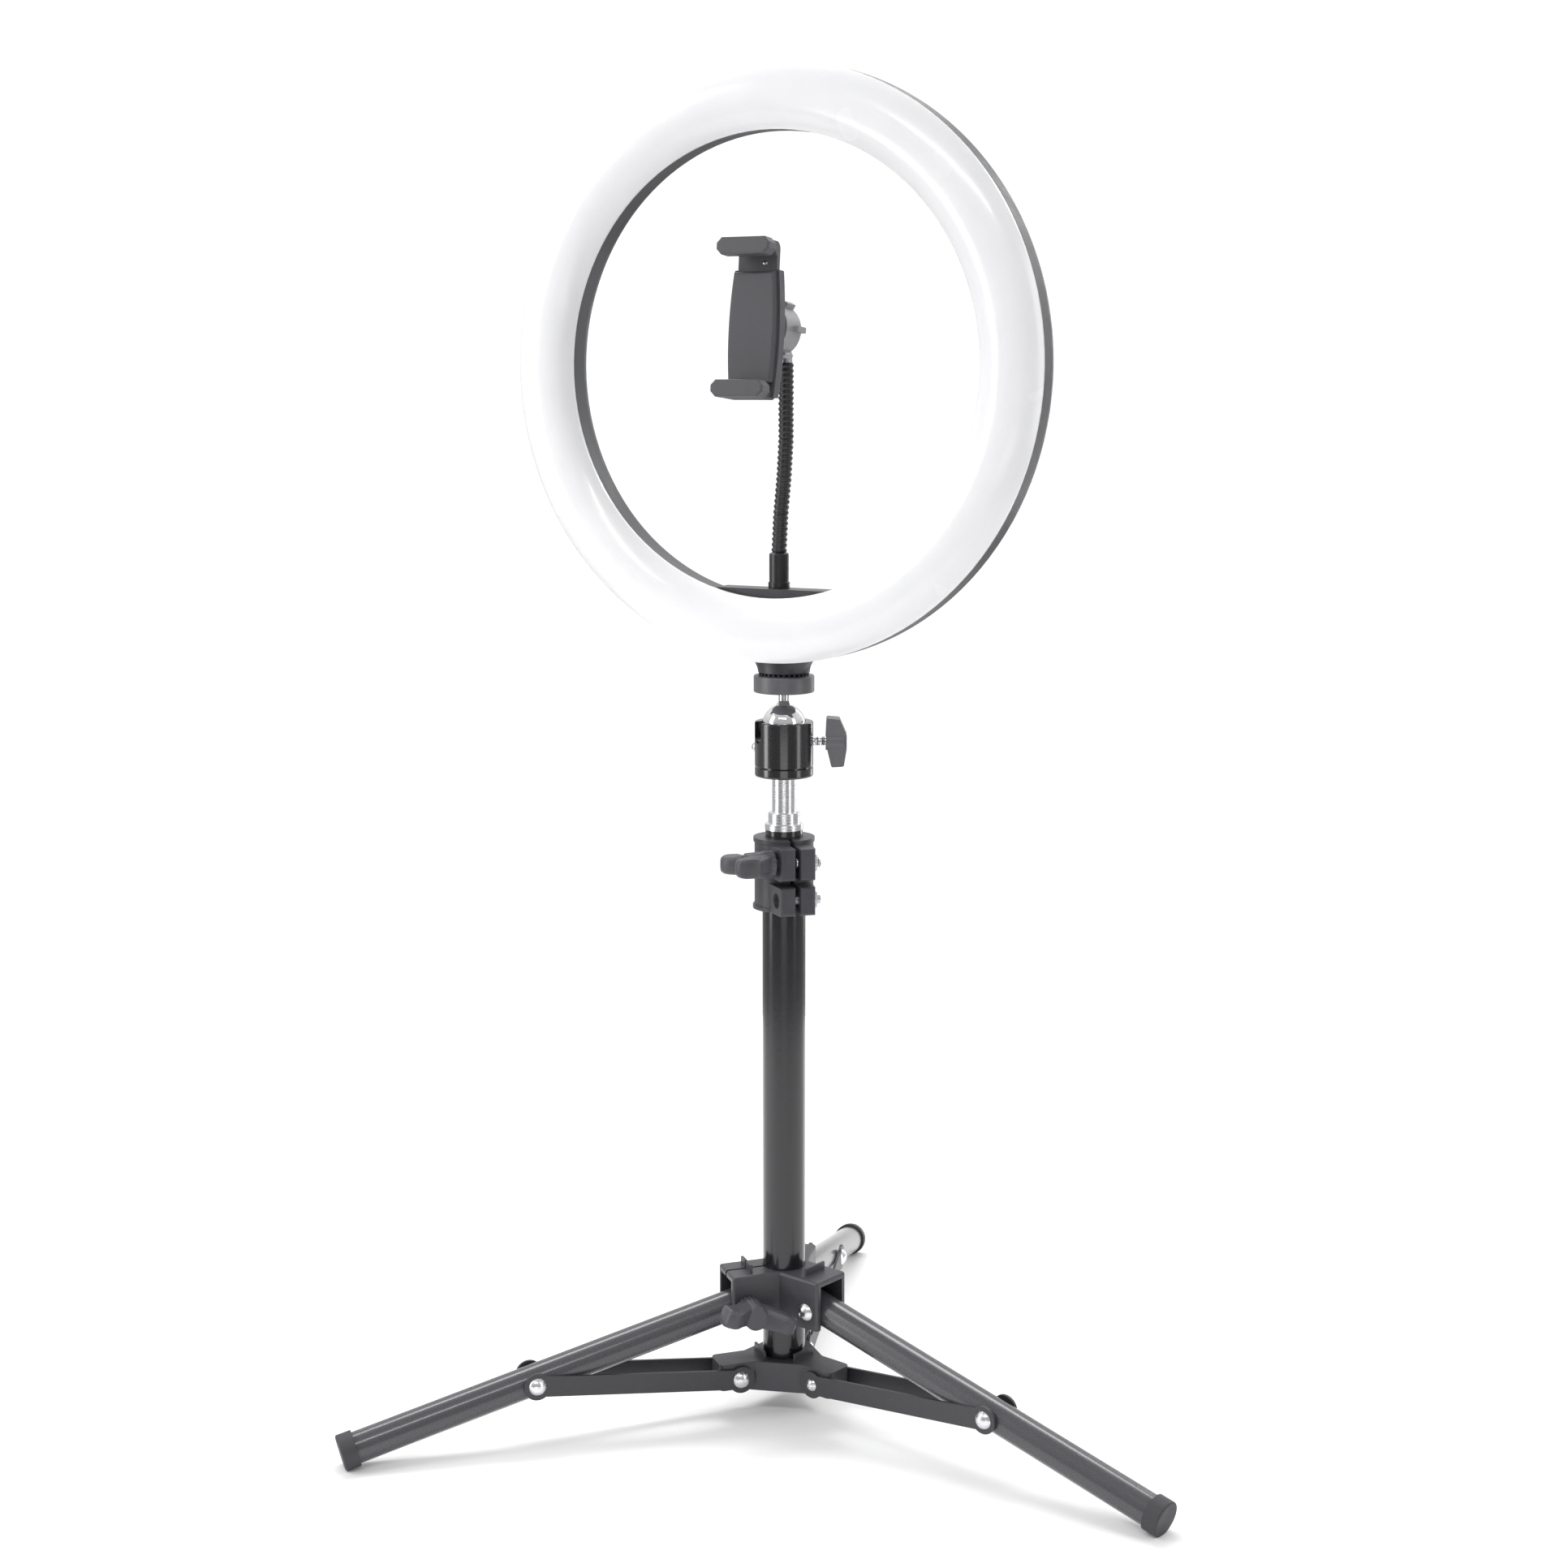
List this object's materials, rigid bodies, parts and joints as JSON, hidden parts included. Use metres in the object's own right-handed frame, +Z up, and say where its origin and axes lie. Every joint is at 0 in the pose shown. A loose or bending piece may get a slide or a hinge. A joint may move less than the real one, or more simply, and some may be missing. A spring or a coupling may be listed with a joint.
{
  "type": "ring light",
  "caption": "Desktop ring light on a folding tripod, with a ball head and a gooseneck phone holder in the hole; legs fold, mast rises, head tilts, holder bends, turns and opens.",
  "frame": {"origin": "centre of the column's closed lower end; the floor is 13.6 mm below it", "axes": "+Z up the column, -Y the way the lamp shines, +X to the viewer's right facing the lamp"},
  "size_m": [0.3941, 0.4051, 0.6836],
  "materials": {
    "tube_black": "satin black powder coat",
    "strap_black": "semi-matt black enamel",
    "body_plastic": "moulded, fine satin",
    "knob_plastic": "moulded, satin",
    "holder_plastic": "moulded, satin",
    "nut_grey": "moulded, satin",
    "bush_plastic": "natural nylon",
    "rivet_steel": "polished rivet heads",
    "screw_steel": "zinc plated",
    "bright_aluminium": "turned, bright",
    "black_anodised": "gloss black anodised",
    "platform_grey": "satin black anodised",
    "ball_chrome": "polished",
    "black_rubber": "matt",
    "opal_plastic": "smooth opal",
    "board_white": "white solder mask",
    "led_phosphor": "phosphor yellow",
    "insert_brass": "turned",
    "hose_black": "ridged"
  },
  "bodies": {
    "column": {"outer_tube": "tube_black", "column_plug": "body_plastic", "spider": "body_plastic", "spider_rivets": "rivet_steel", "height_clamp": "body_plastic", "clamp_nuts": "screw_steel", "collar_screw": "screw_steel"},
    "mast": {"inner_tube": "tube_black", "guide_bush": "bush_plastic", "spigot": "bright_aluminium", "head_base": "black_anodised"},
    "clamp_knob_body": {"clamp_knob": "knob_plastic", "clamp_bolt": "screw_steel"},
    "crown": {"leg_crown": "body_plastic", "crown_rivets": "rivet_steel", "crown_nut": "screw_steel"},
    "crown_knob_body": {"crown_knob": "knob_plastic", "crown_bolt": "screw_steel"},
    "leg_left": {"leg_tube_left": "tube_black", "foot_cap_left": "black_rubber"},
    "strut_left": {"strut_straps_left": "strap_black", "strut_rivets_left": "rivet_steel"},
    "leg_right": {"leg_tube_right": "tube_black", "foot_cap_right": "black_rubber"},
    "strut_right": {"strut_straps_right": "strap_black", "strut_rivets_right": "rivet_steel"},
    "leg_rear": {"leg_tube_rear": "tube_black", "foot_cap_rear": "black_rubber"},
    "strut_rear": {"strut_straps_rear": "strap_black", "strut_rivets_rear": "rivet_steel"},
    "head": {"ball_cup": "black_anodised", "cup_screw": "black_anodised"},
    "lock": {"lock_knob": "knob_plastic", "lock_screw": "screw_steel"},
    "ball": {"ball_stem": "ball_chrome", "platform": "platform_grey", "platform_pad": "black_rubber", "mount_stud": "screw_steel"},
    "lamp": {"rear_housing": "body_plastic", "diffuser": "opal_plastic", "led_board": "board_white", "board_posts": "bush_plastic", "led_chips": "led_phosphor", "housing_screws": "screw_steel", "neck_insert": "insert_brass", "cable_gland": "black_rubber", "gooseneck_ferrule": "hose_black"},
    "goose_1": {"gooseneck_segment_1": "hose_black"},
    "goose_2": {"gooseneck_segment_2": "hose_black"},
    "goose_3": {"gooseneck_segment_3": "hose_black"},
    "goose_4": {"gooseneck_segment_4": "hose_black"},
    "goose_5": {"gooseneck_segment_5": "hose_black", "gooseneck_end": "ball_chrome"},
    "holder_nut_body": {"holder_nut": "nut_grey"},
    "holder": {"holder_shell": "holder_plastic", "holder_front": "holder_plastic", "jaw_pad_lower": "black_rubber"},
    "jaw": {"jaw_slider": "holder_plastic", "jaw_stop_screw": "screw_steel", "jaw_pad_upper": "black_rubber"}
  },
  "joints": [
    {"name": "mast_height", "type": "slide", "parent": "column", "child": "mast", "axis": [0, 0, 1], "range_m": [0, 0.19]},
    {"name": "clamp_knob_turn", "type": "hinge", "parent": "column", "child": "clamp_knob_body", "pos_m": [0.01389, -0.01439, 0.28075], "axis": [-0.7193, -0.6947, 0], "range_deg": [0, 360]},
    {"name": "crown_slide", "type": "slide", "parent": "column", "child": "crown", "axis": [0, 0, 1], "range_m": [0, 0.18242]},
    {"name": "crown_knob_turn", "type": "hinge", "parent": "crown", "child": "crown_knob_body", "pos_m": [-0.01606, -0.01784, 0.0464], "axis": [0.7431, -0.6691, 0], "range_deg": [0, 360]},
    {"name": "leg_left_fold", "type": "hinge", "parent": "crown", "child": "leg_left", "pos_m": [-0.01606, -0.01784, 0.0464], "axis": [0.7431, -0.6691, 0], "range_deg": [0, 68.1]},
    {"name": "strut_left_fold", "type": "hinge", "parent": "column", "child": "strut_left", "pos_m": [-0.01783, -0.0198, 0.0071], "axis": [-0.7431, 0.6691, 0], "range_deg": [0, 76.8]},
    {"name": "leg_right_fold", "type": "hinge", "parent": "crown", "child": "leg_right", "pos_m": [0.02348, -0.00499, 0.0464], "axis": [0.2079, 0.9781, 0], "range_deg": [0, 68.1]},
    {"name": "strut_right_fold", "type": "hinge", "parent": "column", "child": "strut_right", "pos_m": [0.02606, -0.00554, 0.0071], "axis": [-0.2079, -0.9781, 0], "range_deg": [0, 76.8]},
    {"name": "leg_rear_fold", "type": "hinge", "parent": "crown", "child": "leg_rear", "pos_m": [-0.00742, 0.02283, 0.0464], "axis": [-0.9511, -0.309, 0], "range_deg": [0, 68.1]},
    {"name": "strut_rear_fold", "type": "hinge", "parent": "column", "child": "strut_rear", "pos_m": [-0.00823, 0.02534, 0.0071], "axis": [0.9511, 0.309, 0], "range_deg": [0, 76.8]},
    {"name": "head_swivel", "type": "hinge", "parent": "mast", "child": "head", "pos_m": [0, 0, 0.3276], "axis": [0, 0, 1], "continuous": true},
    {"name": "lock_knob_turn", "type": "hinge", "parent": "head", "child": "lock", "pos_m": [0, 0, 0.3398], "axis": [0.8829, 0.4695, 0], "range_deg": [0, 360]},
    {"name": "ball_tilt", "type": "hinge", "parent": "head", "child": "ball", "pos_m": [0, 0, 0.3479], "axis": [1, 0, 0], "range_deg": [-40, 40]},
    {"name": "lamp_turn", "type": "hinge", "parent": "ball", "child": "lamp", "pos_m": [0, 0, 0.3749], "axis": [0, 0, 1], "range_deg": [-180, 180]},
    {"name": "goose_bend_1", "type": "hinge", "parent": "lamp", "child": "goose_1", "pos_m": [0, -0.0052, 0.4349], "axis": [1, 0, 0], "range_deg": [-12, 12]},
    {"name": "goose_bend_2", "type": "hinge", "parent": "goose_1", "child": "goose_2", "pos_m": [0, -0.00339, 0.45352], "axis": [1, 0, 0], "range_deg": [-12, 12]},
    {"name": "goose_bend_3", "type": "hinge", "parent": "goose_2", "child": "goose_3", "pos_m": [0, 0.00007, 0.47214], "axis": [1, 0, 0], "range_deg": [-12, 12]},
    {"name": "goose_bend_4", "type": "hinge", "parent": "goose_3", "child": "goose_4", "pos_m": [0, 0.00218, 0.49076], "axis": [1, 0, 0], "range_deg": [-12, 12]},
    {"name": "goose_bend_5", "type": "hinge", "parent": "goose_4", "child": "goose_5", "pos_m": [0, 0.0022, 0.50938], "axis": [1, 0, 0], "range_deg": [-12, 12]},
    {"name": "holder_tilt", "type": "hinge", "parent": "goose_5", "child": "holder_nut_body", "pos_m": [0, -0.009, 0.5435], "axis": [1, 0, 0], "range_deg": [-12, 24]},
    {"name": "holder_turn", "type": "hinge", "parent": "holder_nut_body", "child": "holder", "pos_m": [0, -0.009, 0.5435], "axis": [0, 0.9951, -0.0993], "range_deg": [-90, 90]},
    {"name": "jaw_open", "type": "slide", "parent": "holder", "child": "jaw", "axis": [0, 0.0993, 0.9951], "range_m": [0, 0.026], "stiffness_N_per_m": 200, "springref_m": -0.02}
  ],
  "couplings": [
    {"joint": "leg_left_fold", "follows": "crown_slide", "rad_per_m": 6.5155},
    {"joint": "strut_left_fold", "follows": "crown_slide", "rad_per_m": 7.348},
    {"joint": "leg_right_fold", "follows": "crown_slide", "rad_per_m": 6.5155},
    {"joint": "strut_right_fold", "follows": "crown_slide", "rad_per_m": 7.348},
    {"joint": "leg_rear_fold", "follows": "crown_slide", "rad_per_m": 6.5155},
    {"joint": "strut_rear_fold", "follows": "crown_slide", "rad_per_m": 7.348},
    {"joint": "goose_bend_2", "follows": "goose_bend_1", "ratio": 1},
    {"joint": "goose_bend_3", "follows": "goose_bend_1", "ratio": 1},
    {"joint": "goose_bend_4", "follows": "goose_bend_1", "ratio": 1},
    {"joint": "goose_bend_5", "follows": "goose_bend_1", "ratio": 1}
  ]
}
